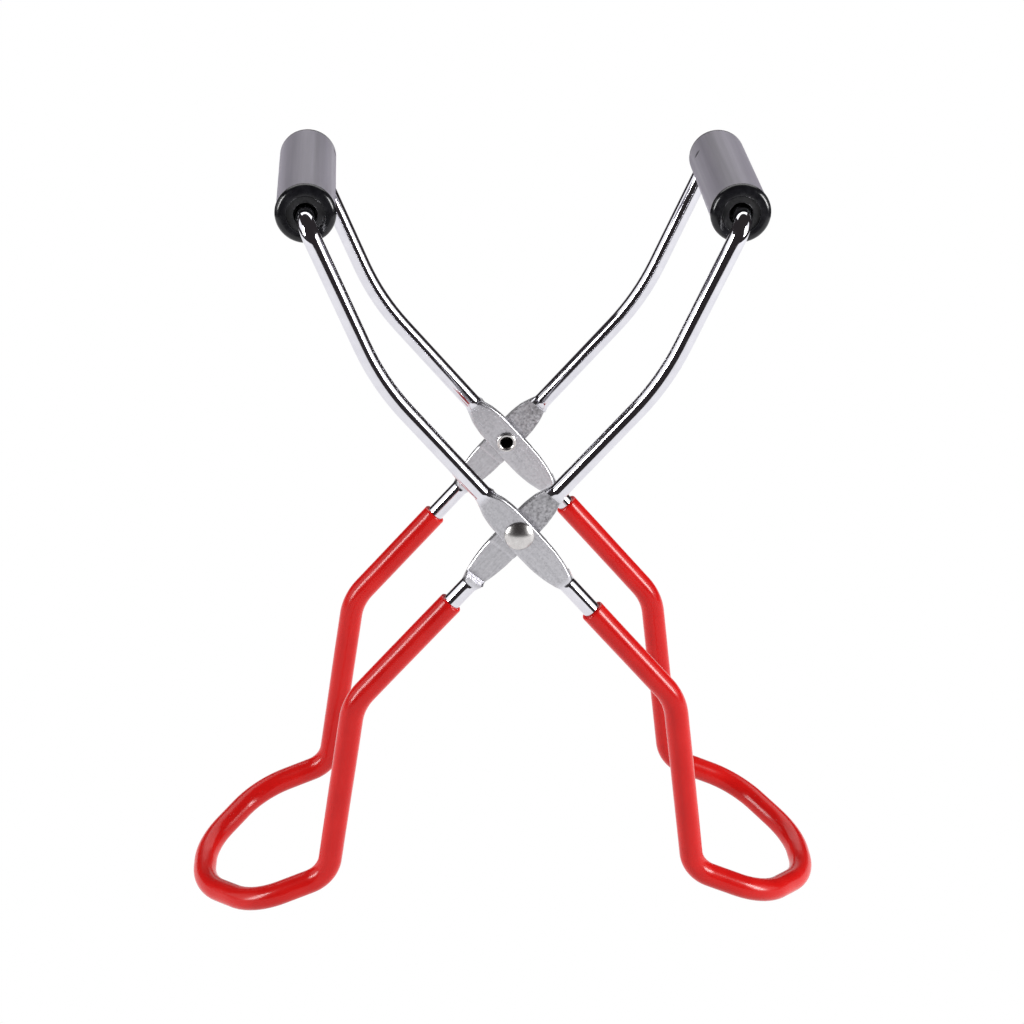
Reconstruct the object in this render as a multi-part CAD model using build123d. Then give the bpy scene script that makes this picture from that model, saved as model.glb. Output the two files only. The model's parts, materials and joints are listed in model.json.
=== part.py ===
"""Canning jar lifter: two wire frames that cross at a pair of rivets, like wide scissors.

Each frame is one closed bend of round wire. Its top crosses between the two arms and
carries a free-turning roller, and its bottom is a finger loop in a dipped red coat.
X runs across the jaws, Y along the rollers and the rivets, and Z is up.
The origin lies midway between the finger loops, level with their lowest points.
The two frames are the same part: the right one is the left one turned half a turn about Z,
so "outer" is the side of a frame that carries its rivet's head. Both rollers have their
flanged cap at the front. Millimetres.
"""
import os
from math import cos, radians, sin

from build123d import *

# ---- wire frame ----
WIRE_D = 4.8
FRAME_WIDTH = 60.0            # between the centre lines of the front and back arms
HALF_OPEN_DEG = 49.5          # straight middle of each arm against the horizontal
UPPER_REACH = 56.7            # pivot to the bend in the jaw arm
JAW_ARM = 46.8                # that bend to the roller's axis
JAW_BEND_DEG = 17.6
LOWER_REACH = 67.9            # pivot to the knee of the handle
HANDLE_LEG = 56.4             # knee to the bottom corner
KNEE_BEND_DEG = 32.6
CROSS_BAR_BEND_R = 5.0
JAW_BEND_R = 70.0
KNEE_BEND_R = 17.0
CORNER_BEND_R = 10.0
BUTT_GAP = 0.4                # the wire's two ends face each other inside the roller

# ---- finger loop, a rounded arch in a plane that tilts down and outwards ----
LOOP_TILT_DEG = 23.5
LOOP_REACH = 39.7             # bottom corner to the nose of the loop
LOOP_NOSE_HALF = 10.3         # half the width of the nose, before rounding
LOOP_FLANK_DEG = 50.0         # how far the shoulder turns
LOOP_SHOULDER_R = 19.5
LOOP_NOSE_R = 24.0

# ---- dipped coat ----
COAT_D = 6.6
COAT_START_OUTER = 31.0       # pivot to the coat's edge: the two legs differ,
COAT_START_INNER = 27.2       # because the frame hung a little askew in the dip
COAT_EDGE_R = 0.45

# ---- leaf pressed in each arm at its pivot ----
LEAF_HEIGHT = 4.3             # of the pressed form before half of it is taken off
LEAF_SECTIONS = (             # place along the wire from the pivot, width, edge radius
    (-15.6, 4.6, 2.1),
    (-13.4, 5.6, 1.3),
    (-10.2, 7.4, 0.6),
    (-6.0, 8.3, 0.4),
    (1.0, 8.5, 0.35),
    (9.0, 8.3, 0.4),
    (14.0, 7.3, 0.6),
    (18.0, 5.7, 1.2),
    (20.6, 4.6, 2.1),
)
FLAT_JAW_END = 14.5           # pivot to the ends of the outer face, which is pressed flat too
FLAT_HANDLE_END = 18.9
FLAT_RUN = 0.9                # length of the slope from there to the round wire
RECESS_JAW_END = 13.2         # pivot to the foot of the shoulder on the jaw side
RECESS_HANDLE_END = 17.2      # and on the handle side
SHOULDER_RUN = 1.1            # length of the shoulder's slope
RECESS_TOP = 3.2              # height that clears the wire
RECESS_WIDTH = 14.0
LEAF_GAP = 0.04               # from the middle of the wire to the rubbing face
RUB_PAD_HALF = 6.4            # half length of the raised rubbing face
RUB_STEP = 0.25               # how far the leaf falls away beyond it, at once on the
RUB_RAMP = 0.7                # handle side and over the whole length on the jaw side

# ---- rivets, semi-tubular, head outside and rolled tail inside ----
RIVET_SHANK_D = 4.6
RIVET_HOLE_D = 4.7
RIVET_HEAD_D = 8.0
RIVET_HEAD_H = 1.9
RIVET_HEAD_EDGE = 0.35
RIVET_DOME_SHARE = (0.6, 0.22)  # a mid point of the dome: share of its radius, fall from its top
RIVET_TAIL_D = 5.6
RIVET_TAIL_H = 0.9
RIVET_TUBE_D = 3.5
RIVET_TUBE_DEPTH = 4.2
RIVET_MOUTH_FLARE = (0.12, 0.3)  # mid point of the flare: outside the tube, share of its height
RIVET_PLAY = 0.04

# ---- rollers ----
ROLLER_LENGTH = 48.0
FRONT_CAP_LENGTH = 2.2
FRONT_CAP_D = 15.6            # a shallow flange round the sleeve
FRONT_CAP_FACE_R = 1.7
FRONT_CAP_BACK_R = 0.25
BACK_CAP_LENGTH = 0.9
BACK_CAP_D = 15.0             # flush with the sleeve
BACK_CAP_FACE_R = 0.5
SLEEVE_D = 15.0
CORE_D = 9.7
CORE_RECESS = 0.5             # core ends lie this far inside the cap faces
CORE_BORE_D = 4.95            # running fit on the wire
CORE_MOUTH_D = 6.1
CORE_MOUTH_DEPTH = 4.0
CORE_RIM_R = 0.3
LEVEL_TOLERANCE = 0.001       # for finding the edges at one height


def polar(start, length, angle_deg):
    """The (x, z) point at a length and an angle above +X from another."""
    a = radians(angle_deg)
    return start[0] + length * cos(a), start[1] + length * sin(a)


# Side profile of the left-jaw frame as (x, z) points, first with the pivot at (0, 0).
JAW_BEND = polar((0, 0), UPPER_REACH, 180 - HALF_OPEN_DEG)
ROLLER_AXIS = polar(JAW_BEND, JAW_ARM, 180 - HALF_OPEN_DEG - JAW_BEND_DEG)
KNEE = polar((0, 0), LOWER_REACH, -HALF_OPEN_DEG)
CORNER = polar(KNEE, HANDLE_LEG, -HALF_OPEN_DEG - KNEE_BEND_DEG)
NOSE = polar(CORNER, LOOP_REACH, -LOOP_TILT_DEG)
PIVOT_Z = COAT_D / 2 - NOSE[1]
HALF_WIDTH = FRAME_WIDTH / 2
LEAF_FACE = LEAF_HEIGHT / 2


def arm_point(profile_point, side):
    """A profile point on the arm at y = side * half width, at its real height."""
    return Vector(profile_point[0], side * HALF_WIDTH, profile_point[1] + PIVOT_Z)


def loop_point(reach, y):
    """A point of the finger loop's plane, at a reach outwards from the corner."""
    x, z = polar(CORNER, reach, -LOOP_TILT_DEG)
    return Vector(x, y, z + PIVOT_Z)


def handle_vertices(side):
    """Corners of the handle's centre line from the knee to the nose, with their radii."""
    flank = radians(LOOP_FLANK_DEG)
    flank_reach = (HALF_WIDTH - LOOP_NOSE_HALF) * cos(flank) / sin(flank)
    points = [
        arm_point(KNEE, side),
        arm_point(CORNER, side),
        loop_point(LOOP_REACH - flank_reach, side * HALF_WIDTH),
        loop_point(LOOP_REACH, side * LOOP_NOSE_HALF),
    ]
    return points, [KNEE_BEND_R, CORNER_BEND_R, LOOP_SHOULDER_R, LOOP_NOSE_R]


def closed_bend(front_points, front_radii, back_points, back_radii):
    """A centre line down the front points and back up the back points."""
    points = front_points + back_points[::-1]
    return FilletPolyline(*points, radius=front_radii + back_radii[::-1])


def wire_line():
    """Centre line of the whole frame, from one wire end round to the other."""
    halves = []
    for side in (-1, 1):
        end = Vector(ROLLER_AXIS[0], side * BUTT_GAP / 2, ROLLER_AXIS[1] + PIVOT_Z)
        handle, handle_radii = handle_vertices(side)
        points = [end, arm_point(ROLLER_AXIS, side), arm_point(JAW_BEND, side)] + handle
        halves.append((points, [CROSS_BAR_BEND_R, JAW_BEND_R] + handle_radii))
    return closed_bend(*halves[0], *halves[1])


def coat_line():
    """The part of the same centre line that the coat covers."""
    halves = []
    for side, start in ((-1, COAT_START_OUTER), (1, COAT_START_INNER)):
        edge = arm_point(polar((0, 0), start, -HALF_OPEN_DEG), side)
        handle, handle_radii = handle_vertices(side)
        halves.append(([edge] + handle, handle_radii))
    return closed_bend(*halves[0], *halves[1])


def swept(section, line):
    """A section swept square to a centre line."""
    return sweep(Plane(origin=line @ 0, z_dir=line % 0) * section, path=line)


def pressed_form():
    """The swollen length of an arm before its inner half is removed, along local X."""
    sections = []
    for place, width, edge_radius in LEAF_SECTIONS:
        height = min(width, LEAF_HEIGHT)
        sections.append(Plane.YZ.offset(place) * RectangleRounded(width, height, edge_radius))
    return loft(sections)


def leaf_recess():
    """What the press takes off: half the wire, between two sloping shoulders."""
    floor = -LEAF_GAP - RUB_STEP
    outline = Polyline(
        (-RECESS_JAW_END - SHOULDER_RUN, RECESS_TOP),
        (-RECESS_JAW_END, floor),
        (-RUB_PAD_HALF, -LEAF_GAP),
        (RUB_PAD_HALF, -LEAF_GAP),
        (RUB_PAD_HALF + RUB_RAMP, floor),
        (RECESS_HANDLE_END, floor),
        (RECESS_HANDLE_END + SHOULDER_RUN, RECESS_TOP),
        close=True,
    )
    side_view = Plane.XZ * make_face(outline)
    return extrude(side_view, amount=RECESS_WIDTH / 2, both=True)


def outer_flat():
    """What the press takes off the crest of the wire on the leaf's outer face."""
    outline = Polyline(
        (-FLAT_JAW_END - FLAT_RUN, -WIRE_D / 2),
        (-FLAT_JAW_END, -LEAF_FACE),
        (FLAT_HANDLE_END, -LEAF_FACE),
        (FLAT_HANDLE_END + FLAT_RUN, -WIRE_D / 2),
        (FLAT_HANDLE_END + FLAT_RUN, -RECESS_TOP),
        (-FLAT_JAW_END - FLAT_RUN, -RECESS_TOP),
        close=True,
    )
    side_view = Plane.XZ * make_face(outline)
    return extrude(side_view, amount=RECESS_WIDTH / 2, both=True)


def left_frame_wire():
    """One wire with a leaf in each arm, both leaves on the -Y side of the wire."""
    body = swept(Circle(WIRE_D / 2), wire_line())
    form = pressed_form()
    pressed = leaf_recess() + outer_flat()
    along = Vector(1, 0, 0).rotate(Axis.Y, HALF_OPEN_DEG)
    for side in (-1, 1):
        place = Plane(origin=(0, side * HALF_WIDTH, PIVOT_Z), x_dir=along, z_dir=(0, 1, 0))
        body += place * form
        body -= place * pressed
    body -= Pos(0, 0, PIVOT_Z) * Rot(90, 0, 0) * Cylinder(RIVET_HOLE_D / 2, 2 * FRAME_WIDTH)
    return body


def left_frame_coat():
    """The dipped coat, an open-ended tube round the whole handle."""
    ring = Circle(COAT_D / 2) - Circle(WIRE_D / 2)
    coat = swept(ring, coat_line())
    ends = coat.faces().filter_by(GeomType.PLANE)
    rims = [max(face.edges(), key=lambda edge: edge.length) for face in ends]
    return fillet(rims, COAT_EDGE_R)


def front_rivet():
    """Domed head outside, rolled hollow tail inside, turned about Y."""
    head_under = -HALF_WIDTH - LEAF_FACE - RIVET_PLAY
    tail_start = -HALF_WIDTH + LEAF_FACE + RIVET_PLAY
    tail_end = tail_start + RIVET_TAIL_H
    head_r = RIVET_HEAD_D / 2
    shank_r = RIVET_SHANK_D / 2
    tube_r = RIVET_TUBE_D / 2
    roll_r = RIVET_TAIL_H / 2
    roll_x = RIVET_TAIL_D / 2 - roll_r
    dome_top = head_under - RIVET_HEAD_H
    dome_r, dome_fall = RIVET_DOME_SHARE
    flare_out, flare_fall = RIVET_MOUTH_FLARE
    tube_mouth = tail_end - RIVET_TAIL_H
    tube_floor = tail_end - RIVET_TUBE_DEPTH
    outline = [
        ThreePointArc(
            (0, dome_top),
            (head_r * dome_r, dome_top + RIVET_HEAD_H * dome_fall),
            (head_r, head_under - RIVET_HEAD_EDGE),
        ),
        Line((head_r, head_under - RIVET_HEAD_EDGE), (head_r, head_under)),
        Line((head_r, head_under), (shank_r, head_under)),
        Line((shank_r, head_under), (shank_r, tail_start)),
        Line((shank_r, tail_start), (roll_x, tail_start)),
        ThreePointArc((roll_x, tail_start), (roll_x + roll_r, tail_start + roll_r), (roll_x, tail_end)),
        ThreePointArc(
            (roll_x, tail_end),
            (tube_r + flare_out, tail_end - RIVET_TAIL_H * flare_fall),
            (tube_r, tube_mouth),
        ),
        Line((tube_r, tube_mouth), (tube_r, tube_floor)),
        Line((tube_r, tube_floor), (0, tube_floor)),
        Line((0, tube_floor), (0, dome_top)),
    ]
    return Pos(0, 0, PIVOT_Z) * revolve(make_face(outline), Axis.Y)


def roller_place():
    """Turns a piece modelled along local Z onto the left roller's axis."""
    return Pos(ROLLER_AXIS[0], 0, ROLLER_AXIS[1] + PIVOT_Z) * Rot(-90, 0, 0)


def round_edges(piece, z_place, pick):
    """The widest (pick=max) or narrowest (pick=min) round edge of a turned piece at a height."""
    level = [edge for edge in piece.edges().filter_by(GeomType.CIRCLE)
             if abs(edge.arc_center.Z - z_place) < LEVEL_TOLERANCE]
    return [pick(level, key=lambda edge: edge.radius)]


def cap_ring(length, diameter, face_r):
    """A ring with a rounded face, at the +Y end of a roller."""
    half = ROLLER_LENGTH / 2
    ring = Pos(0, 0, half - length / 2) * (Cylinder(diameter / 2, length) - Cylinder(CORE_D / 2, length))
    ring = fillet(round_edges(ring, half, max), face_r)
    return fillet(round_edges(ring, half, min), CORE_RIM_R)


def front_cap():
    """The flanged cap, turned round to the -Y end."""
    cap = cap_ring(FRONT_CAP_LENGTH, FRONT_CAP_D, FRONT_CAP_FACE_R)
    cap = fillet(round_edges(cap, ROLLER_LENGTH / 2 - FRONT_CAP_LENGTH, max), FRONT_CAP_BACK_R)
    return Rot(180, 0, 0) * cap


def back_cap():
    """The thin flush cap at the +Y end."""
    return cap_ring(BACK_CAP_LENGTH, BACK_CAP_D, BACK_CAP_FACE_R)


def sleeve():
    """The grip between the caps."""
    length = ROLLER_LENGTH - FRONT_CAP_LENGTH - BACK_CAP_LENGTH
    middle = (FRONT_CAP_LENGTH - BACK_CAP_LENGTH) / 2
    return Pos(0, 0, middle) * (Cylinder(SLEEVE_D / 2, length) - Cylinder(CORE_D / 2, length))


def core():
    """The bush that turns on the wire, with a wider mouth at each end."""
    length = ROLLER_LENGTH - 2 * CORE_RECESS
    piece = Cylinder(CORE_D / 2, length) - Cylinder(CORE_BORE_D / 2, length)
    for end in (-1, 1):
        piece -= Pos(0, 0, end * (length - CORE_MOUTH_DEPTH) / 2) * Cylinder(
            CORE_MOUTH_D / 2, CORE_MOUTH_DEPTH)
    for end in (-1, 1):
        piece = fillet(round_edges(piece, end * length / 2, min), CORE_RIM_R)
    return piece


def build():
    """Every piece by name, at rest."""
    place = roller_place()
    frame = {"frame_wire": left_frame_wire(), "handle_coat": left_frame_coat()}
    roller = {
        "roller_sleeve": place * sleeve(),
        "roller_core": place * core(),
        "roller_front_cap": place * front_cap(),
        "roller_back_cap": place * back_cap(),
    }
    to_right_roller = Pos(-2 * ROLLER_AXIS[0], 0, 0)
    pieces = {"front_rivet": front_rivet()}
    pieces["back_rivet"] = pieces["front_rivet"].rotate(Axis.Z, 180)
    for name, piece in frame.items():
        pieces["left_" + name] = piece
        pieces["right_" + name] = piece.rotate(Axis.Z, 180)
    for name, piece in roller.items():
        pieces["left_" + name] = piece
        pieces["right_" + name] = to_right_roller * piece
    return pieces


os.makedirs("parts", exist_ok=True)
for name, piece in build().items():
    export_step(piece, f"parts/{name}.step")
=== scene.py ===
"""Looks of the canning jar lifter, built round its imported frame. Metres, +Z up, +Y to the back.

Each CAD node is replaced by a finer piece in the same place: two wire frames with their
pressed leaves, two dipped coats, two rivets, and two rollers of four parts each.
The right frame is the left one turned half a turn about Z.
"""

import json
from math import atan2, ceil, cos, pi, radians, sin, tan

import bmesh
import bpy
import numpy as np
from mathutils import Matrix, Vector


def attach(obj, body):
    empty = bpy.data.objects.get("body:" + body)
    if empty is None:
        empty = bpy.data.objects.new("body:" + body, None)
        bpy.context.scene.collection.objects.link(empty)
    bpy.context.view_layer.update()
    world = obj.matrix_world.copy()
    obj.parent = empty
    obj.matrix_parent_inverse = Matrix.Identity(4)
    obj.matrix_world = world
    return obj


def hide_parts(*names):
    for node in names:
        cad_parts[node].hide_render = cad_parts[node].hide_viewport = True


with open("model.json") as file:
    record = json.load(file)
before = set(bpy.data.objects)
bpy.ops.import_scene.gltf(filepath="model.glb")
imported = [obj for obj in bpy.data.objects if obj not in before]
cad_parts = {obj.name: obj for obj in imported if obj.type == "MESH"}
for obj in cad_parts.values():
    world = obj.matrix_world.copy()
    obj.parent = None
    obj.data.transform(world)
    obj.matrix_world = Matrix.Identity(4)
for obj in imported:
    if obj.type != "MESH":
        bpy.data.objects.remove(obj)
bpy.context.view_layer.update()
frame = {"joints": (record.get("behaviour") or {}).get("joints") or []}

# ---- places, from the frame's joints ----
JOINT_PLACE = {joint["name"]: Vector(joint["pos_m"]) for joint in frame["joints"]}
PIVOT_Z = JOINT_PLACE["jaw_pivot"].z
ROLLER_X = JOINT_PLACE["left_roller_spin"].x
ROLLER_Z = JOINT_PLACE["left_roller_spin"].z

# ---- wire frame ----
WIRE_R = 0.0024
HALF_WIDTH = 0.030            # half the distance between the front and back arms
HALF_OPEN = radians(49.5)     # middle of each arm against the horizontal
UPPER_REACH = 0.0567          # pivot to the bend in the jaw arm
LOWER_REACH = 0.0679          # pivot to the knee
HANDLE_LEG = 0.0564           # knee to the bottom corner
KNEE_BEND = radians(32.6)
CROSS_BAR_BEND_R = 0.005
JAW_BEND_R = 0.070
KNEE_BEND_R = 0.017
CORNER_BEND_R = 0.010
BUTT_GAP = 0.0004
LOOP_TILT = radians(23.5)
LOOP_REACH = 0.0397
LOOP_NOSE_HALF = 0.0103
LOOP_FLANK = radians(50.0)
LOOP_SHOULDER_R = 0.0195
LOOP_NOSE_R = 0.024
WIRE_COLUMNS = 96
BEND_STEP = radians(2.5)      # largest turn between rings in a bend
RUN_STEP = 0.002              # largest distance between rings in a straight run
SAMPLE_MARGIN = 0.0004        # plain rings stay this far outside the leaf
CRISP_ANGLE = radians(35)     # edges that turn by more than this aren't smoothed

# ---- leaf pressed in each arm ----
LEAF_HEIGHT = 0.0043
LEAF_SECTIONS = (             # place along the wire from the pivot, width, height, edge radius
    (-0.0156, 0.0048, 0.0048, 0.0024),
    (-0.0144, 0.0051, 0.0043, 0.0016),
    (-0.0134, 0.0056, 0.0043, 0.0012),
    (-0.0102, 0.0074, 0.0043, 0.0006),
    (-0.0060, 0.0083, 0.0043, 0.0004),
    (0.0010, 0.0085, 0.0043, 0.00035),
    (0.0090, 0.0083, 0.0043, 0.0004),
    (0.0140, 0.0073, 0.0043, 0.0006),
    (0.0180, 0.0057, 0.0043, 0.0011),
    (0.0192, 0.0052, 0.0043, 0.0016),
    (0.0206, 0.0048, 0.0048, 0.0024),
)
RECESS_JAW_END = 0.0132
RECESS_HANDLE_END = 0.0172
SHOULDER_RUN = 0.0011
SHOULDER_RISE = 0.0035
LEAF_GAP = 0.00004
RUB_PAD_HALF = 0.0064
RUB_STEP = 0.00025
RUB_RAMP = 0.0007
LEAF_BEVEL = 0.00016
RECESS_FACE_LOWEST = -0.00034
HANDLE_SIDE_COARSE = 0.25     # share of the jaw side's coarseness
LEAF_STEP = 0.00025           # ring spacing in the leaf
LEAST_SPACING = 0.15          # nearest that a ring comes to a step's own ring, in LEAF_STEPs
LEAF_FADE = 0.003             # run over which the satin of the leaf fades into the plate
SHOULDER_STEPS = 24

# ---- dipped coat ----
COAT_R = 0.0033
COAT_CLEARANCE = 0.00002
COAT_START_OUTER = 0.0310
COAT_START_INNER = 0.0272
COAT_LIP_R = 0.00045
COAT_WAVE = 0.00003           # unevenness of the dip
COAT_COLUMNS = 72
COAT_CRISP_ANGLE = radians(50)
LIP_STEPS = 6

# ---- rivets ----
RIVET_SHANK_R = 0.0023
RIVET_HOLE_R = 0.00235
RIVET_HEAD_R = 0.0040
RIVET_HEAD_H = 0.0019
RIVET_HEAD_EDGE = 0.00035
RIVET_TAIL_R = 0.0028
RIVET_TAIL_H = 0.0009
RIVET_TUBE_R = 0.00175
RIVET_TUBE_DEPTH = 0.0042
RIVET_PLAY = 0.00004
HEAD_RIM_R = 0.0002
HEAD_RIM_START = 40           # degrees, where the rim's round leaves the dome
RIVET_COLUMNS = 96
DOME_STEPS = 24
HEAD_RIM_STEPS = 5
TAIL_ROLL_STEPS = 16
TAIL_LIP_STEPS = 10
TUBE_FLOOR_SHARE = 0.6        # flat part of the hole's floor
BORE_SHADE_DEPTH = 0.0004     # painted shade: the plating fades to near black inside the tail's hole
BORE_MARGIN = 1.01            # share of its radius that still counts as the hole
FLOOR_MARGIN = 1.001

# ---- rollers ----
ROLLER_LENGTH = 0.048
FRONT_CAP = {"length": 0.0022, "radius": 0.0078, "face_r": 0.0017, "back_r": 0.00025}
BACK_CAP = {"length": 0.0009, "radius": 0.0075, "face_r": 0.0005, "back_r": 0.0001}
SLEEVE_R = 0.0075
CORE_R = 0.00485
CORE_RECESS = 0.0005
CORE_BORE_R = 0.002475
CORE_MOUTH_R = 0.00305
CORE_MOUTH_DEPTH = 0.004
CORE_RIM_R = 0.0003
SLEEVE_EDGE_R = 0.0001
SLEEVE_RINGS = 120
SKIN_FROM = 1.1               # the sleeve's skin is further out than this many core radii
SCAR_HALF_RUN = 0.0007        # mark left by the mould's gate: half its size along the roller
SCAR_HALF_WIDTH = 0.0014      # and round it
SCAR_DEPTH = 0.0002
SCARS = {                     # place along the roller, angle round it
    "left": (0.0205, radians(14)),
    "right": (0.0150, radians(152)),
}
TURN_COLUMNS = 160
CAP_FACE_STEPS = 20
RIM_STEPS = 6
SLEEVE_EDGE_STEPS = 4
ON_AXIS = 1e-7                # a profile point nearer to its axis than this is on it

# ---- stage, light and camera ----
TABLE_R = 0.55
TABLE_RINGS = 12
TABLE_COLUMNS = 96
TABLE_GLOW = 0.80
ROOM_COLOUR = (0.035, 0.030, 0.032, 1)
AIM = (0, 0, 0.14)            # what every lamp points at
LAMPS = {                     # degrees from the back, distance, height, width, length, watts
    "rear_softbox": (0, 0.75, 0.95, 1.60, 0.80, 10.0),
    "rear_low_softbox": (0, 1.20, 0.06, 1.00, 0.40, 1.2),
    "left_panel": (-93, 1.06, 0.36, 0.95, 0.56, 2.4),
    "right_panel": (107, 1.06, 0.36, 0.95, 0.56, 2.4),
    "left_strip": (-113, 0.96, 0.36, 0.24, 0.52, 10.0),
    "right_strip": (115, 0.96, 0.36, 0.24, 0.50, 14.0),
}
CAMERA_PLACE = Vector((-0.04245, -0.62094, 0.42186))
CAMERA_YAW = radians(-3.92)
CAMERA_PITCH = radians(26.023)
CAMERA_ROLL = radians(-1.265)
CAMERA_LENS = 87.9
SENSOR_WIDTH = 36


# ------------------------------------------------------------------ centre lines

def polar(start, length, angle):
    """The point at a length and an angle from another, in the plane of (x, z) or of a profile."""
    return start[0] + length * cos(angle), start[1] + length * sin(angle)


JAW_BEND = polar((0, PIVOT_Z), UPPER_REACH, pi - HALF_OPEN)
ROLLER_AXIS = (ROLLER_X, ROLLER_Z)
KNEE = polar((0, PIVOT_Z), LOWER_REACH, -HALF_OPEN)
CORNER = polar(KNEE, HANDLE_LEG, -HALF_OPEN - KNEE_BEND)
ARM_DOWN = np.array([cos(HALF_OPEN), 0, -sin(HALF_OPEN)])   # along the arm, towards the handle


def arm_point(profile_point):
    """A profile point on the front arm."""
    return np.array([profile_point[0], -HALF_WIDTH, profile_point[1]])


def loop_point(reach, y):
    """A point of the finger loop's plane, at a reach outwards from the corner."""
    x, z = polar(CORNER, reach, -LOOP_TILT)
    return np.array([x, y, z])


def rounded_line(points, radii):
    """Samples of straight runs joined by tangent arcs: an array of places along the line."""
    samples = [points[0]]

    def run_to(end):
        start = samples[-1]
        count = max(1, ceil(np.linalg.norm(end - start) / RUN_STEP))
        for i in range(1, count + 1):
            samples.append(start + (end - start) * i / count)

    for before, corner, after, radius in zip(points, points[1:], points[2:], radii):
        way_in = (corner - before) / np.linalg.norm(corner - before)
        way_out = (after - corner) / np.linalg.norm(after - corner)
        turn = np.arccos(np.clip(way_in @ way_out, -1, 1))
        tangent = radius * tan(turn / 2)
        inward = way_out - way_in * (way_in @ way_out)
        inward /= np.linalg.norm(inward)
        start = corner - way_in * tangent
        run_to(start)
        steps = max(2, ceil(turn / BEND_STEP))
        for i in range(1, steps + 1):
            angle = turn * i / steps
            samples.append(start + radius * (way_in * sin(angle) + inward * (1 - cos(angle))))
    run_to(points[-1])
    return np.array(samples)


def half_line(end_points, end_radii):
    """The front half of a frame's centre line, from the middle of the nose upwards."""
    flank_reach = (HALF_WIDTH - LOOP_NOSE_HALF) / tan(LOOP_FLANK)
    points = [
        loop_point(LOOP_REACH, 0.0),
        loop_point(LOOP_REACH, -LOOP_NOSE_HALF),
        loop_point(LOOP_REACH - flank_reach, -HALF_WIDTH),
        arm_point(CORNER),
        arm_point(KNEE),
    ] + end_points
    radii = [LOOP_NOSE_R, LOOP_SHOULDER_R, CORNER_BEND_R, KNEE_BEND_R] + end_radii
    return rounded_line(points, radii)


def arc_lengths(line):
    """Distance along a sampled line at each sample."""
    return np.concatenate([[0], np.cumsum(np.linalg.norm(np.diff(line, axis=0), axis=1))])


def frames_along(line, first_side):
    """Two directions square to a line at each sample, which don't twist along it."""
    tangents = np.gradient(line, arc_lengths(line), axis=0)
    tangents[0] = line[1] - line[0]
    tangents[-1] = line[-1] - line[-2]
    tangents /= np.linalg.norm(tangents, axis=1)[:, None]
    sides = []
    side = np.array(first_side, float)
    for tangent in tangents:
        side = side - tangent * (side @ tangent)
        side /= np.linalg.norm(side)
        sides.append(side)
    sides = np.array(sides)
    return sides, np.cross(tangents, sides)


# ------------------------------------------------------------------ meshes

def new_piece(name, vertices, faces, material, attributes=()):
    """A smooth mesh object with point attributes, given as (name, values) pairs."""
    mesh = bpy.data.meshes.new(name)
    mesh.from_pydata([tuple(v) for v in vertices], [], faces)
    shell = bmesh.new()
    shell.from_mesh(mesh)
    bmesh.ops.recalc_face_normals(shell, faces=shell.faces)
    shell.to_mesh(mesh)
    shell.free()
    mesh.shade_smooth()
    for key, values in attributes:
        values = np.asarray(values, np.float32)
        kind, field = ("FLOAT", "value") if values.ndim == 1 else ("FLOAT_VECTOR", "vector")
        mesh.attributes.new(key, kind, "POINT").data.foreach_set(field, values.ravel())
    if material:
        mesh.materials.append(material)
    piece = bpy.data.objects.new(name, mesh)
    bpy.context.scene.collection.objects.link(piece)
    return piece


def ring_faces(rings, columns, closed=False):
    """Quads between rings of vertices, and between the last and the first if closed."""
    faces = []
    for i in range(rings if closed else rings - 1):
        a, b = i * columns, (i + 1) % rings * columns
        for j in range(columns):
            k = (j + 1) % columns
            faces.append((a + j, b + j, b + k, a + k))
    return faces


def mark_sharp(piece, angle):
    """Edges that turn by more than an angle stay crisp."""
    piece.data.set_sharp_from_angle(angle=angle)


def pressed_size(place):
    """Half width, half height and edge radius of the pressed form, from the pivot."""
    places, widths, heights, edges = zip(*LEAF_SECTIONS)
    width, height, edge = (
        smooth_through(place, places, values) for values in (widths, heights, edges)
    )
    return width / 2, height / 2, min(edge, height / 2)


def smooth_through(place, places, values):
    """A curve with level ends and no overshoot through a few values."""
    places, values = np.array(places), np.array(values)
    slopes = np.diff(values) / np.diff(places)
    inner = [0.0 if a * b <= 0 else 2 * a * b / (a + b) for a, b in zip(slopes, slopes[1:])]
    gradients = np.array([0.0] + inner + [0.0])
    place = np.clip(place, places[0], places[-1])
    i = np.clip(np.searchsorted(places, place) - 1, 0, len(places) - 2)
    run = places[i + 1] - places[i]
    t = (place - places[i]) / run
    return (values[i] * (1 + 2 * t) * (1 - t) ** 2 + values[i + 1] * t * t * (3 - 2 * t)
            + run * gradients[i] * t * (1 - t) ** 2 - run * gradients[i + 1] * t * t * (1 - t))


def kept_outline(half_width, half_height, edge, depth, count):
    """Points from a depth on one side of a rounded rectangle, round its foot, to the other side.

    Where the edges are crisp, the wall, the edge and the foot get a third of the points each.
    """
    wall = half_height - edge
    foot = half_width - edge
    half_round = wall + edge * pi / 2 + foot
    crisp = float(np.clip(2 * wall / half_height, 0, 1))
    half = count / 2
    thirds = (0, half / 3, half * 2 / 3, half)
    points = []
    for i in range(count + 1):
        k = min(i, count - i)
        even = depth + (half_round - depth) * k / half
        shared = np.interp(k, thirds, (depth, wall, half_round - foot, half_round))
        s = even + (float(shared) - even) * crisp
        if s < wall:
            across, deep = half_width, s
        elif s < half_round - foot:
            angle = (s - wall) / edge
            across, deep = foot + edge * cos(angle), wall + edge * sin(angle)
        else:
            across, deep = half_round - s, half_height
        points.append((-across if i > half else across, -deep))
    return points


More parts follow.
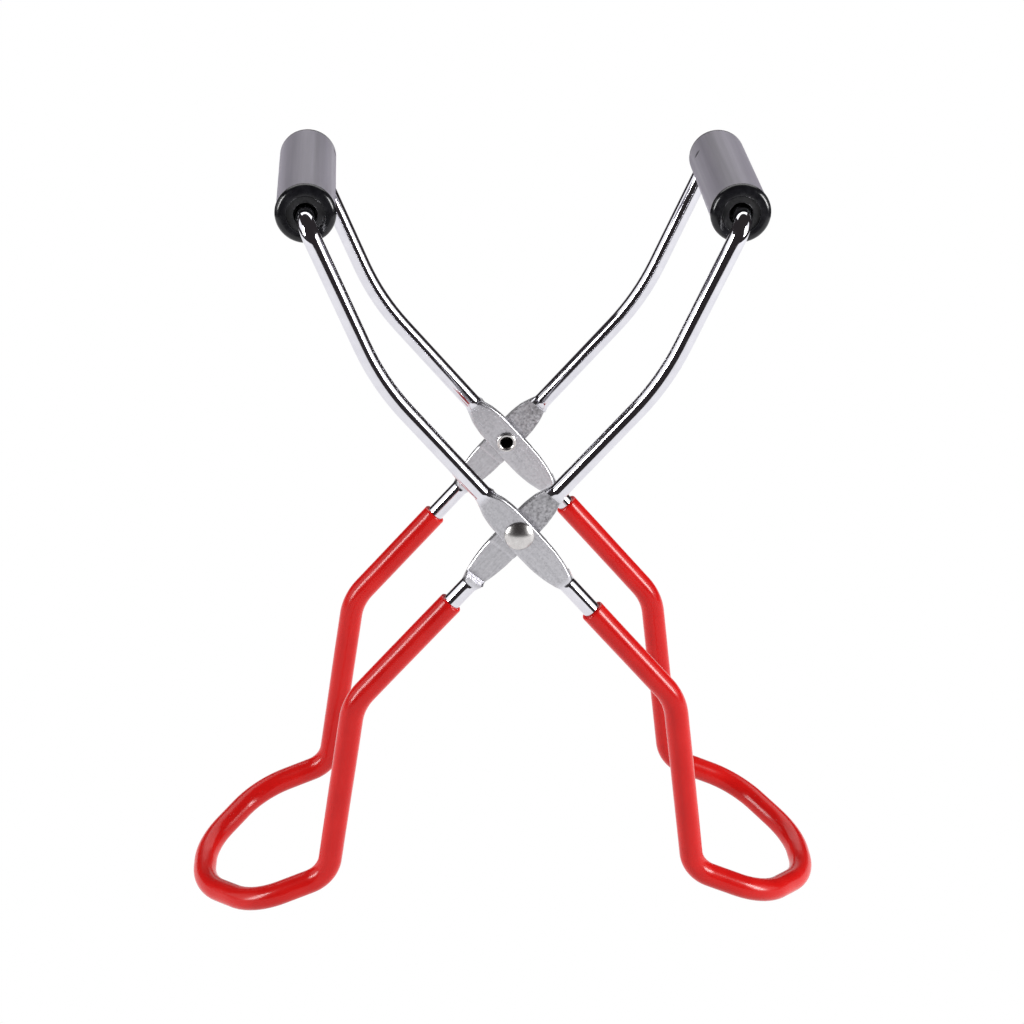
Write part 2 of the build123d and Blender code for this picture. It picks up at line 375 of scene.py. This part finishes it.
def recess_height(place):
    """How high the wire stands on the pressed side of its middle, at a place along it."""
    floor = -LEAF_GAP - RUB_STEP
    steps = (
        (-RECESS_JAW_END - SHOULDER_RUN, SHOULDER_RISE),
        (-RECESS_JAW_END, floor),
        (-RUB_PAD_HALF, -LEAF_GAP),
        (RUB_PAD_HALF, -LEAF_GAP),
        (RUB_PAD_HALF + RUB_RAMP, floor),
        (RECESS_HANDLE_END, floor),
        (RECESS_HANDLE_END + SHOULDER_RUN, SHOULDER_RISE),
    )
    return float(np.interp(place, *zip(*steps)))


def wire_section(place):
    """One section of the wire as (across, height) pairs, with the pressed side up."""
    half = WIRE_COLUMNS // 2
    if not LEAF_SECTIONS[0][0] < place < LEAF_SECTIONS[-1][0]:
        return [(WIRE_R * cos(pi * j / half), WIRE_R * sin(pi * j / half)) for j in range(2 * half)]
    half_width, half_height, edge = pressed_size(place)
    limit = recess_height(place)
    bevel = LEAF_BEVEL * np.clip(-limit / RUB_STEP, 0, 1)
    depth = max(0.0, -limit + bevel) if limit < 0 else 0.0
    kept = kept_outline(half_width, half_height, edge, depth, half)
    flatness = np.clip((half_height - limit) / half_height, 0, 1)
    flat_half = kept[0][0] - LEAF_BEVEL
    points = [kept[0]]
    for j in range(1, half):
        round_across = half_width * cos(pi * j / half)
        flat_across = flat_half * (1 - 2 * (j - 1) / (half - 2))
        across = round_across + (flat_across - round_across) * flatness
        past_edge = min(edge, max(0.0, abs(across) - (half_width - edge)))
        height = half_height - edge + (edge ** 2 - past_edge ** 2) ** 0.5
        points.append((across, min(height, limit)))
    return points + kept[:0:-1]


def leaf_places():
    """Where rings are wanted round the leaf, dense at its steps and shoulders."""
    shoulders = (-RECESS_JAW_END - SHOULDER_RUN, RECESS_HANDLE_END)
    runs = np.linspace(0, SHOULDER_RUN, SHOULDER_STEPS)
    places = [start + run for start in shoulders for run in runs]
    places += [-RUB_PAD_HALF, RUB_PAD_HALF, RUB_PAD_HALF + RUB_RAMP]
    for place in np.arange(LEAF_SECTIONS[0][0], LEAF_SECTIONS[-1][0], LEAF_STEP):
        if min(abs(place - kept) for kept in places) > LEAF_STEP * LEAST_SPACING:
            places.append(float(place))
    return sorted(places)


def wire_line():
    """The front half of the wire's centre line, with close samples through the leaf."""
    end = np.array([ROLLER_X, -BUTT_GAP / 2, ROLLER_Z])
    jaw_points = [arm_point(JAW_BEND), arm_point(ROLLER_AXIS), end]
    line = half_line(jaw_points, [JAW_BEND_R, CROSS_BAR_BEND_R])
    places = [place_on_arm(point) for point in line]
    first, last = LEAF_SECTIONS[0][0], LEAF_SECTIONS[-1][0]
    handle = [point for point, place in zip(line, places) if place > last + SAMPLE_MARGIN]
    jaw = [point for point, place in zip(line, places) if place < first - SAMPLE_MARGIN]
    leaf = [arm_point((0, PIVOT_Z)) + ARM_DOWN * place for place in leaf_places()[::-1]]
    return np.array(handle + leaf + jaw)


def place_on_arm(point):
    """Distance from the pivot towards the handle, measured along the arm's straight middle."""
    return float((point - arm_point((0, PIVOT_Z))) @ ARM_DOWN)


def wire_frame(name, material):
    """The left frame's wire: its back half mirrors the front one, with the leaf turned over."""
    line = wire_line()
    lengths = arc_lengths(line)
    sides, ups = frames_along(line, (cos(LOOP_TILT), 0, -sin(LOOP_TILT)))
    half = WIRE_COLUMNS // 2
    vertices, local, pressed, recessed = [], [], [], []
    back = [(i, 1) for i in range(len(line) - 1, 0, -1)]
    front = [(i, -1) for i in range(len(line))]
    for i, half_side in back + front:
        place = place_on_arm(line[i])
        section = wire_section(place)
        if half_side < 0:
            section = section[half:] + section[:half]
        mirror = np.array([1, -half_side, 1])
        for across, height in section:
            offset = (ups[i] * across + sides[i] * height) * half_side
            vertices.append((line[i] + offset) * mirror)
            local.append((lengths[i] * half_side, across, height))
            pressed.append(leaf_mask(place))
            recessed.append(recess_mask(place, height))
    rings = len(back) + len(front)
    faces = ring_faces(rings, WIRE_COLUMNS)
    faces.append(tuple(range(WIRE_COLUMNS)))
    faces.append(tuple(range(rings * WIRE_COLUMNS - 1, (rings - 1) * WIRE_COLUMNS - 1, -1)))
    masks = (("wire_place", local), ("pressed", pressed), ("recessed", recessed))
    piece = new_piece(name, vertices, faces, material, masks)
    cut_rivet_holes(piece)
    mark_sharp(piece, CRISP_ANGLE)
    return piece


def cut_rivet_holes(piece):
    """A hole through both leaves of a frame, along Y at the pivot."""
    reach = HALF_WIDTH * 2
    profile = [(0, -reach), (RIVET_HOLE_R, -reach), (RIVET_HOLE_R, reach), (0, reach)]
    cutter = turned_piece("rivet_hole_cutter", profile, (0, PIVOT_Z), None)
    boolean = piece.modifiers.new("rivet_holes", "BOOLEAN")
    boolean.operation = "DIFFERENCE"
    boolean.solver = "EXACT"
    boolean.object = cutter
    bpy.context.view_layer.update()
    result = piece.evaluated_get(bpy.context.evaluated_depsgraph_get())
    cut = bpy.data.meshes.new_from_object(result)
    piece.modifiers.clear()
    piece.data = cut
    bpy.data.objects.remove(cutter)


def leaf_mask(place):
    """1 in the pressed leaf, 0 on the plain wire."""
    start, end = LEAF_SECTIONS[0][0], LEAF_SECTIONS[-1][0]
    rise = np.clip((place - start) / LEAF_FADE, 0, 1) * np.clip((end - place) / LEAF_FADE, 0, 1)
    return float(rise * rise * (3 - 2 * rise))


def recess_mask(place, height):
    """How coarse the pressed face is: most on the jaw side, nothing on the leaf's other faces."""
    if not -RECESS_JAW_END < place < RECESS_HANDLE_END or height < RECESS_FACE_LOWEST:
        return 0.0
    return float(np.interp(place, (-RUB_PAD_HALF, RUB_PAD_HALF), (1.0, HANDLE_SIDE_COARSE)))


def coat(name, starts, material):
    """The dipped coat: an outer skin with a rounded lip at each end, and the wire's bore."""
    outer = []
    inner = []
    for half_side, start in ((1, starts[1]), (-1, starts[0])):
        line = half_line([arm_point((0, PIVOT_Z)) + ARM_DOWN * start], [])
        lengths = arc_lengths(line)
        sides, ups = frames_along(line, (cos(LOOP_TILT), 0, -sin(LOOP_TILT)))
        mirror = np.array([1, -half_side, 1])
        samples = list(zip(line, sides, ups, lengths))
        rings = [(centre, side, up, COAT_R, length, 1.0) for centre, side, up, length in samples
                 if length < lengths[-1] - 2 * COAT_LIP_R]
        end, side, up, whole = samples[-1]
        for k in range(LIP_STEPS + 1):
            angle = pi / 2 * k / LIP_STEPS
            back_off = COAT_LIP_R * (1 - sin(angle))
            radius = COAT_R - COAT_LIP_R * (1 - cos(angle))
            centre = end + ARM_DOWN * back_off
            rings.append((centre, side, up, radius, whole - back_off, 1 - k / LIP_STEPS))
        bore = [(centre, side, up, WIRE_R + COAT_CLEARANCE, length, 0.0)
                for centre, side, up, length in samples]
        if half_side > 0:
            outer += [ring_of(r, mirror, half_side) for r in rings[:0:-1]]
            inner_back = [ring_of(r, mirror, half_side) for r in bore[1:]]
        else:
            outer += [ring_of(r, mirror, half_side) for r in rings]
            inner = [ring_of(r, mirror, half_side) for r in bore[::-1]] + inner_back
    rings = outer + inner
    vertices = [v for ring, _ in rings for v in ring]
    local = [v for _, places in rings for v in places]
    faces = ring_faces(len(rings), COAT_COLUMNS, closed=True)
    piece = new_piece(name, vertices, faces, material, (("coat_place", local),))
    mark_sharp(piece, COAT_CRISP_ANGLE)
    return piece


def ring_of(sample, mirror, half_side):
    """One ring of the coat and the (along, around) place of each of its points."""
    centre, side, up, radius, length, wave = sample
    points = []
    places = []
    for j in range(COAT_COLUMNS):
        angle = 2 * pi * j / COAT_COLUMNS
        r = radius + wave * COAT_WAVE * dip_wave(length * half_side, angle)
        offset = (up * cos(angle) + side * sin(angle)) * r
        points.append((centre + offset) * mirror)
        places.append((length * half_side, cos(angle), sin(angle)))
    return points, places


def dip_wave(length, angle):
    """Slow unevenness of a dipped skin, between -1 and 1; the wave numbers are per metre."""
    return (0.5 * sin(length * 210 + 2 * sin(length * 47)) * cos(angle + length * 60)
            + 0.5 * sin(length * 95 + 1.3) * cos(2 * angle - length * 31))


# ------------------------------------------------------------------ turned pieces

def turned_piece(name, profile, centre, material, direction=1, columns=TURN_COLUMNS):
    """A (radius, along) profile turned about a line parallel to Y through (x, z)."""
    vertices = []
    rings = []
    for radius, along in profile:
        start = len(vertices)
        if radius < ON_AXIS:
            vertices.append((centre[0], along * direction, centre[1]))
            rings.append([start] * columns)
            continue
        for j in range(columns):
            x, z = polar(centre, radius, 2 * pi * j / columns)
            vertices.append((x, along * direction, z))
        rings.append(list(range(start, start + columns)))
    faces = []
    closed = profile[0][0] > ON_AXIS
    count = len(rings)
    for i in range(count if closed else count - 1):
        a, b = rings[i], rings[(i + 1) % count]
        for j in range(columns):
            k = (j + 1) % columns
            face = [a[j], b[j], b[k], a[k]] if direction > 0 else [a[k], b[k], b[j], a[j]]
            face = list(dict.fromkeys(face))
            if len(face) > 2:
                faces.append(face)
    piece = new_piece(name, vertices, faces, material)
    mark_sharp(piece, CRISP_ANGLE)
    return piece


def arc(centre, radius, start, end, steps):
    """Points on a round corner of a profile, angles in degrees from the radius axis."""
    return [polar(centre, radius, radians(start + (end - start) * k / steps))
            for k in range(steps + 1)]


def rivet(name, side, material):
    """Domed head outside, hollow tail rolled over inside. side is -1 for the front rivet."""
    leaf_face = LEAF_HEIGHT / 2 + RIVET_PLAY
    head_under = HALF_WIDTH + leaf_face
    tail_start = HALF_WIDTH - leaf_face
    tail_end = tail_start - RIVET_TAIL_H
    rise = RIVET_HEAD_H - RIVET_HEAD_EDGE
    dome_r = (RIVET_HEAD_R ** 2 + rise ** 2) / (2 * rise)
    dome_half = atan2(RIVET_HEAD_R, dome_r - rise)
    dome_centre = head_under + RIVET_HEAD_H - dome_r
    dome_angles = [dome_half * k / DOME_STEPS for k in range(DOME_STEPS)]
    profile = [(dome_r * sin(angle), dome_centre + dome_r * cos(angle)) for angle in dome_angles]
    rim = (RIVET_HEAD_R - HEAD_RIM_R, head_under + RIVET_HEAD_EDGE - HEAD_RIM_R)
    profile += arc(rim, HEAD_RIM_R, HEAD_RIM_START, 0, HEAD_RIM_STEPS)
    profile += [(RIVET_HEAD_R, head_under), (RIVET_SHANK_R, head_under)]
    profile += [(RIVET_SHANK_R, tail_start)]
    roll = RIVET_TAIL_H / 2
    profile += arc((RIVET_TAIL_R - roll, tail_start - roll), roll, 90, -90, TAIL_ROLL_STEPS)
    lip = RIVET_TAIL_R - roll - RIVET_TUBE_R
    profile += arc((RIVET_TAIL_R - roll, tail_end + lip), lip, 270, 180, TAIL_LIP_STEPS)[1:]
    floor = tail_end + RIVET_TUBE_DEPTH
    profile += [(RIVET_TUBE_R, floor - RIVET_TUBE_R)]
    profile += [(RIVET_TUBE_R * TUBE_FLOOR_SHARE, floor), (0, floor)]
    piece = turned_piece(name, profile, (0, PIVOT_Z), material, side, RIVET_COLUMNS)
    # painted shade: a mask that darkens the inside of the tail's hole
    inside = [bore_shade_mask(vertex.co, tail_end + lip, floor) for vertex in piece.data.vertices]
    piece.data.attributes.new("bore", "FLOAT", "POINT").data.foreach_set("value", inside)
    return piece


def bore_shade_mask(place, start, floor):
    """Painted shade in the tail's hole: 1 inside it, fading in from its start, and 0 on the plated
    outside.
    """
    radius = (place.x ** 2 + (place.z - PIVOT_Z) ** 2) ** 0.5
    depth = abs(place.y)
    if radius >= RIVET_TUBE_R * BORE_MARGIN or depth >= floor * FLOOR_MARGIN:
        return 0.0
    return float(np.clip((depth - start) / BORE_SHADE_DEPTH, 0, 1))


def cap_profile(length, radius, face_r, back_r):
    """Ring with a rounded face, from its bore round the outside."""
    half = ROLLER_LENGTH / 2
    back = half - length
    profile = [(CORE_R, back)]
    profile += arc((radius - back_r, back + back_r), back_r, -90, 0, RIM_STEPS)
    profile += arc((radius - face_r, half - face_r), face_r, 0, 90, CAP_FACE_STEPS)
    profile += arc((CORE_R + CORE_RIM_R, half - CORE_RIM_R), CORE_RIM_R, 90, 180, RIM_STEPS)
    return profile


def sleeve_profile():
    """The grip between the caps, with small edge rounds and many rings for its surface."""
    front = FRONT_CAP["length"] - ROLLER_LENGTH / 2
    back = ROLLER_LENGTH / 2 - BACK_CAP["length"]
    edge = SLEEVE_EDGE_R
    rings = np.linspace(front + edge, back - edge, SLEEVE_RINGS)
    profile = [(CORE_R, front)]
    profile += arc((SLEEVE_R - edge, front + edge), edge, -90, 0, SLEEVE_EDGE_STEPS)
    profile += [(SLEEVE_R, float(along)) for along in rings[1:-1]]
    profile += arc((SLEEVE_R - edge, back - edge), edge, 0, 90, SLEEVE_EDGE_STEPS)
    profile += [(CORE_R, back)]
    return profile


def sleeve(name, centre, scar_along, scar_angle, material):
    """The grip, with the small dent that its mould's gate left."""
    piece = turned_piece(name, sleeve_profile(), centre, material)
    marks = []
    for vertex in piece.data.vertices:
        out = Vector((vertex.co.x - centre[0], 0, vertex.co.z - centre[1]))
        turn = atan2(out.z, out.x) - scar_angle
        run = (vertex.co.y - scar_along) / SCAR_HALF_RUN
        width = turn * SLEEVE_R / SCAR_HALF_WIDTH
        on_skin = out.length > CORE_R * SKIN_FROM
        mark = max(0.0, 1 - run ** 2 - width ** 2) if on_skin else 0.0
        vertex.co -= out.normalized() * SCAR_DEPTH * mark
        marks.append(mark)
    piece.data.attributes.new("scar", "FLOAT", "POINT").data.foreach_set("value", marks)
    return piece


def core_profile():
    """The bush that turns on the wire, with a wider mouth at each end."""
    half = ROLLER_LENGTH / 2 - CORE_RECESS
    mouth = half - CORE_MOUTH_DEPTH
    rim = CORE_RIM_R
    profile = [(CORE_R, -half), (CORE_R, half)]
    profile += arc((CORE_MOUTH_R + rim, half - rim), rim, 90, 180, RIM_STEPS)
    profile += [(CORE_MOUTH_R, mouth), (CORE_BORE_R, mouth)]
    profile += [(CORE_BORE_R, -mouth), (CORE_MOUTH_R, -mouth)]
    profile += arc((CORE_MOUTH_R + rim, -half + rim), rim, 180, 270, RIM_STEPS)
    return profile


# ------------------------------------------------------------------ materials

class Shader:
    """A principled material and short calls that add nodes to it."""

    NUMBERS_IN, NUMBER_OUT = (2, 3), 0      # the Mix node's sockets, which share their names
    COLOURS_IN, COLOUR_OUT = (6, 7), 2

    def __init__(self, name, **settings):
        self.material = bpy.data.materials.new(name)
        self.material.use_nodes = True
        self.tree = self.material.node_tree
        self.surface = self.tree.nodes["Principled BSDF"]
        for key, value in settings.items():
            self.surface.inputs[key.replace("_", " ")].default_value = value

    def node(self, kind, **settings):
        made = self.tree.nodes.new(kind)
        for key, value in settings.items():
            setattr(made, key, value)
        return made

    def link(self, output, target):
        self.tree.links.new(output, target)

    def attribute(self, name, output="Fac"):
        return self.node("ShaderNodeAttribute", attribute_name=name).outputs[output]

    def place(self, source=None, scale=(1000, 1000, 1000)):
        """Coordinates in millimetres, stretched by a scale, from the object or an attribute."""
        if source is None:
            source = self.node("ShaderNodeTexCoord").outputs["Object"]
        mapping = self.node("ShaderNodeMapping")
        mapping.inputs["Scale"].default_value = scale
        self.link(source, mapping.inputs["Vector"])
        return mapping.outputs["Vector"]

    def noise(self, where, scale, detail=3.0, roughness=0.5):
        made = self.node("ShaderNodeTexNoise")
        made.inputs["Scale"].default_value = scale
        made.inputs["Detail"].default_value = detail
        made.inputs["Roughness"].default_value = roughness
        self.link(where, made.inputs["Vector"])
        return made.outputs["Fac"]

    def spread(self, value, low, high, from_low=0.3, from_high=0.7):
        """A value stretched onto another range."""
        made = self.node("ShaderNodeMapRange")
        made.inputs["From Min"].default_value = from_low
        made.inputs["From Max"].default_value = from_high
        made.inputs["To Min"].default_value = low
        made.inputs["To Max"].default_value = high
        self.link(value, made.inputs["Value"])
        return made.outputs["Result"]

    def blend(self, mask, first, second):
        """first where mask is 0 and second where it is 1; each a number or an output."""
        made = self.node("ShaderNodeMix", data_type="FLOAT")
        self.link(mask, made.inputs["Factor"])
        for socket, value in zip(self.NUMBERS_IN, (first, second)):
            if isinstance(value, (int, float)):
                made.inputs[socket].default_value = value
            else:
                self.link(value, made.inputs[socket])
        return made.outputs[self.NUMBER_OUT]

    def colour(self, mask, first, second):
        """A colour between two, by a mask."""
        made = self.node("ShaderNodeMix", data_type="RGBA")
        self.link(mask, made.inputs["Factor"])
        for socket, value in zip(self.COLOURS_IN, (first, second)):
            if isinstance(value, tuple):
                made.inputs[socket].default_value = (*value, 1)
            else:
                self.link(value, made.inputs[socket])
        return made.outputs[self.COLOUR_OUT]

    def bump(self, height, strength, distance, below=None):
        """A normal raised by a height, on top of another normal."""
        made = self.node("ShaderNodeBump")
        made.inputs["Strength"].default_value = strength
        made.inputs["Distance"].default_value = distance
        self.link(height, made.inputs["Height"])
        if below is not None:
            self.link(below, made.inputs["Normal"])
        return made.outputs["Normal"]

    def finish(self, **inputs):
        """Links outputs to the shader's own inputs and hands the material over."""
        for key, value in inputs.items():
            self.link(value, self.surface.inputs[key.replace("_", " ")])
        return self.material


def chrome_material():
    """Bright plate on drawn wire, satin on the pressed leaves and coarse on their pressed faces."""
    m = Shader("chrome_wire", Metallic=1.0)
    mask = m.attribute("pressed")
    coarse = m.attribute("recessed")
    along = m.place(m.attribute("wire_place", "Vector"), (120, 2600, 2600))
    grain = m.place(m.attribute("wire_place", "Vector"), (1000, 1000, 1000))
    streak = m.noise(along, 1.0, 4.0, 0.6)
    speckle = m.noise(grain, 5.0, 3.0, 0.65)
    mottle = m.noise(grain, 1.1, 5.0, 0.7)
    cloud = m.noise(grain, 0.35, 2.0)
    plate = m.colour(m.spread(cloud, 0, 1), (0.60, 0.595, 0.64), (0.65, 0.645, 0.685))
    fleck = m.spread(m.noise(grain, 1.7, 6.0, 0.8), 0, 1, 0.36, 0.64)
    flecked = m.blend(fleck, m.spread(streak, 0, 0.7), 1.0)
    leaf = m.colour(flecked, (0.28, 0.277, 0.295), (0.52, 0.515, 0.54))
    pits = m.spread(mottle, 0, 1, 0.35, 0.65)
    scuffed = m.blend(pits, m.spread(streak, 0, 0.4, 0.45, 0.65), 1.0)
    worn = m.colour(scuffed, (0.16, 0.156, 0.165), (0.54, 0.535, 0.56))
    pressed = m.colour(coarse, leaf, worn)
    rough_plate = m.spread(cloud, 0.05, 0.09)
    rough_leaf = m.blend(coarse, m.spread(speckle, 0.28, 0.42), m.spread(mottle, 0.34, 0.55))
    fine = m.bump(m.blend(mask, 0.5, speckle), 0.14, 0.00003)
    pitted = m.bump(m.blend(coarse, 0.5, mottle), 0.20, 0.00006, fine)
    normal = m.bump(m.blend(mask, 0.5, streak), 0.18, 0.00003, pitted)
    base = m.colour(mask, plate, pressed)
    roughness = m.blend(mask, rough_plate, rough_leaf)
    return m.finish(Base_Color=base, Roughness=roughness, Normal=normal)


def vinyl_material():
    """Thick glossy dip: a deep red with a slow uneven skin."""
    m = Shader("red_vinyl", IOR=1.30)
    where = m.place()
    cloud = m.noise(where, 0.12, 3.0)
    ripple = m.noise(where, 0.35, 2.0)
    orange_peel = m.noise(where, 1.6, 2.0)
    base = m.colour(m.spread(cloud, 0, 1), (0.380, 0.0045, 0.0040), (0.425, 0.0068, 0.0056))
    low = m.bump(ripple, 0.03, 0.0003)
    normal = m.bump(orange_peel, 0.02, 0.0001, low)
    return m.finish(Base_Color=base, Roughness=m.spread(cloud, 0.19, 0.25), Normal=normal)


def sleeve_material():
    """Satin black tube with lengthwise draw marks and a darker gate mark."""
    m = Shader("black_sleeve", IOR=1.5, Sheen_Weight=0.35, Sheen_Roughness=0.30,
               Sheen_Tint=(0.90, 0.84, 1.0, 1))
    lengthwise = m.place(scale=(900, 22, 900))
    where = m.place()
    streak = m.noise(lengthwise, 0.7, 4.0, 0.6)
    broad = m.noise(lengthwise, 0.25, 2.0)
    grain = m.noise(where, 6.0, 3.0, 0.6)
    tone = m.blend(m.spread(streak, 0, 1), m.spread(broad, 0, 0.5), 1.0)
    skin = m.colour(tone, (0.072, 0.066, 0.083), (0.140, 0.131, 0.157))
    base = m.colour(m.spread(m.attribute("scar"), 0, 1, 0.05, 0.4), skin, (0.020, 0.019, 0.021))
    low = m.bump(streak, 0.22, 0.00004)
    normal = m.bump(grain, 0.25, 0.00003, low)
    return m.finish(Base_Color=base, Roughness=m.spread(broad, 0.34, 0.46), Normal=normal)


def cap_material():
    """Glossy black moulding with faint handling marks."""
    m = Shader("black_cap", IOR=1.36)
    where = m.place()
    cloud = m.noise(where, 0.5, 3.0)
    grain = m.noise(where, 4.0, 3.0, 0.6)
    base = m.colour(m.spread(cloud, 0, 1), (0.004, 0.004, 0.005), (0.009, 0.009, 0.011))
    normal = m.bump(grain, 0.06, 0.00003)
    return m.finish(Base_Color=base, Roughness=m.spread(cloud, 0.13, 0.24), Normal=normal)


def core_material():
    """Dull black moulding."""
    m = Shader("black_core", IOR=1.38)
    where = m.place()
    grain = m.noise(where, 3.0, 3.0, 0.6)
    base = m.colour(m.spread(grain, 0, 1), (0.010, 0.010, 0.011), (0.020, 0.020, 0.021))
    normal = m.bump(grain, 0.12, 0.00004)
    return m.finish(Base_Color=base, Roughness=m.spread(grain, 0.30, 0.45), Normal=normal)


def rivet_material():
    """Nickel-plated rivet, a little duller than the wire, with painted shade inside the tail's
    hole.
    """
    m = Shader("rivet_steel", Metallic=1.0)
    where = m.place()
    cloud = m.noise(where, 0.8, 3.0)
    grain = m.noise(where, 7.0, 3.0, 0.6)
    plate = m.colour(m.spread(cloud, 0, 1), (0.48, 0.465, 0.46), (0.58, 0.565, 0.555))
    # painted shade: near black inside the tail's hole, by the bore mask
    base = m.colour(m.attribute("bore"), plate, (0.035, 0.030, 0.028))
    normal = m.bump(grain, 0.10, 0.00003)
    return m.finish(Base_Color=base, Roughness=m.spread(grain, 0.22, 0.30), Normal=normal)


def floor_material():
    """Pale lit table top."""
    m = Shader("pale_table", Base_Color=(0.30, 0.30, 0.305, 1), Roughness=0.9)
    m.surface.inputs["Specular IOR Level"].default_value = 0.0
    m.surface.inputs["Emission Color"].default_value = (1, 1, 1, 1)
    m.surface.inputs["Emission Strength"].default_value = TABLE_GLOW
    return m.material


# ------------------------------------------------------------------ the object

def settle(piece, body, node):
    """Rides a piece on its body in place of a CAD node."""
    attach(piece, body)
    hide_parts(node)


def turned_about_z(piece, name):
    """The same piece, half a turn about Z."""
    twin = piece.copy()
    twin.data = piece.data.copy()
    twin.name = name
    twin.data.name = name
    twin.data.transform(Matrix.Rotation(pi, 4, "Z"))
    bpy.context.scene.collection.objects.link(twin)
    return twin


CHROME = chrome_material()
VINYL = vinyl_material()
SLEEVE = sleeve_material()
CAP = cap_material()
CORE = core_material()
RIVET = rivet_material()

left_wire = wire_frame("left_wire", CHROME)
right_wire = turned_about_z(left_wire, "right_wire")
settle(left_wire, "left_jaw", "left_frame_wire")
settle(right_wire, "right_jaw", "right_frame_wire")

left_coat = coat("left_coat", (COAT_START_OUTER, COAT_START_INNER), VINYL)
right_coat = turned_about_z(left_coat, "right_coat")
settle(left_coat, "left_jaw", "left_handle_coat")
settle(right_coat, "right_jaw", "right_handle_coat")

for rivet_name, rivet_side in (("front", -1), ("back", 1)):
    piece = rivet(rivet_name + "_pivot_rivet", rivet_side, RIVET)
    settle(piece, "left_jaw", rivet_name + "_rivet")

for jaw, jaw_side in (("left", 1), ("right", -1)):
    centre = (ROLLER_X * jaw_side, ROLLER_Z)
    body = jaw + "_roller"
    grip = sleeve(jaw + "_sleeve", centre, *SCARS[jaw], SLEEVE)
    settle(grip, body, jaw + "_roller_sleeve")
    core = turned_piece(jaw + "_core", core_profile(), centre, CORE)
    settle(core, body, jaw + "_roller_core")
    for end, direction, shape in (("front", -1, FRONT_CAP), ("back", 1, BACK_CAP)):
        cap = turned_piece(f"{jaw}_{end}_cap", cap_profile(**shape), centre, CAP, direction)
        settle(cap, body, f"{jaw}_roller_{end}_cap")


# ------------------------------------------------------------------ stage, light and camera

def table_top():
    """A round pale table, level with the lowest points of the finger loops.

    It lights the object and shows in its reflections. The camera sees the same white through it,
    so a handle that swings lower than it isn't hidden.
    """
    turns = [2 * pi * j / TABLE_COLUMNS for j in range(TABLE_COLUMNS)]
    vertices = [(0, 0, 0)]
    for i in range(1, TABLE_RINGS + 1):
        radius = TABLE_R * i / TABLE_RINGS
        vertices += [(radius * cos(turn), radius * sin(turn), 0) for turn in turns]
    faces = [(0, 1 + j, 1 + (j + 1) % TABLE_COLUMNS) for j in range(TABLE_COLUMNS)]
    for quad in ring_faces(TABLE_RINGS, TABLE_COLUMNS):
        faces.append(tuple(1 + corner for corner in quad))
    table = new_piece("table_top", vertices, faces, floor_material())
    table.visible_camera = False


def softbox(name, centre, target, width, height, power):
    """A rectangular area light that shows in reflections but not to the camera."""
    light = bpy.data.lights.new(name, "AREA")
    light.shape = "RECTANGLE"
    light.size = width
    light.size_y = height
    light.energy = power
    lamp = bpy.data.objects.new(name, light)
    lamp.location = centre
    lamp.rotation_mode = "QUATERNION"
    lamp.rotation_quaternion = (Vector(target) - Vector(centre)).to_track_quat("-Z", "Y")
    lamp.visible_camera = False
    bpy.context.scene.collection.objects.link(lamp)


def studio_world():
    """A dim room for light and reflections, behind a plain white backdrop."""
    world = bpy.data.worlds.new("studio")
    world.use_nodes = True
    nodes, links = world.node_tree.nodes, world.node_tree.links
    room = nodes["Background"]
    room.inputs["Color"].default_value = ROOM_COLOUR
    backdrop = nodes.new("ShaderNodeBackground")
    backdrop.inputs["Color"].default_value = (1, 1, 1, 1)
    path = nodes.new("ShaderNodeLightPath")
    mix = nodes.new("ShaderNodeMixShader")
    links.new(path.outputs["Is Camera Ray"], mix.inputs["Fac"])
    links.new(room.outputs["Background"], mix.inputs[1])
    links.new(backdrop.outputs["Background"], mix.inputs[2])
    links.new(mix.outputs["Shader"], nodes["World Output"].inputs["Surface"])
    bpy.context.scene.world = world


def camera():
    """Looks down on the front, a little from the left."""
    across = Vector((cos(CAMERA_YAW), sin(CAMERA_YAW), 0))
    level = Vector((-sin(CAMERA_YAW), cos(CAMERA_YAW), 0))
    ahead = level * cos(CAMERA_PITCH) - Vector((0, 0, sin(CAMERA_PITCH)))
    up = across.cross(ahead)
    right = across * cos(CAMERA_ROLL) - up * sin(CAMERA_ROLL)
    top = across * sin(CAMERA_ROLL) + up * cos(CAMERA_ROLL)
    data = bpy.data.cameras.new("camera")
    data.sensor_width = SENSOR_WIDTH
    data.lens = CAMERA_LENS
    eye = bpy.data.objects.new("camera", data)
    turn = Matrix((right, top, -ahead)).transposed().to_4x4()
    eye.matrix_world = Matrix.Translation(CAMERA_PLACE) @ turn
    bpy.context.scene.collection.objects.link(eye)
    bpy.context.scene.camera = eye


table_top()
for lamp_name, (azimuth, distance, height, width, length, power) in LAMPS.items():
    lamp_place = (distance * sin(radians(azimuth)), distance * cos(radians(azimuth)), height)
    softbox(lamp_name, lamp_place, AIM, width, length, power)
studio_world()
camera()
bpy.context.scene.view_settings.view_transform = "Standard"
bpy.context.view_layer.update()
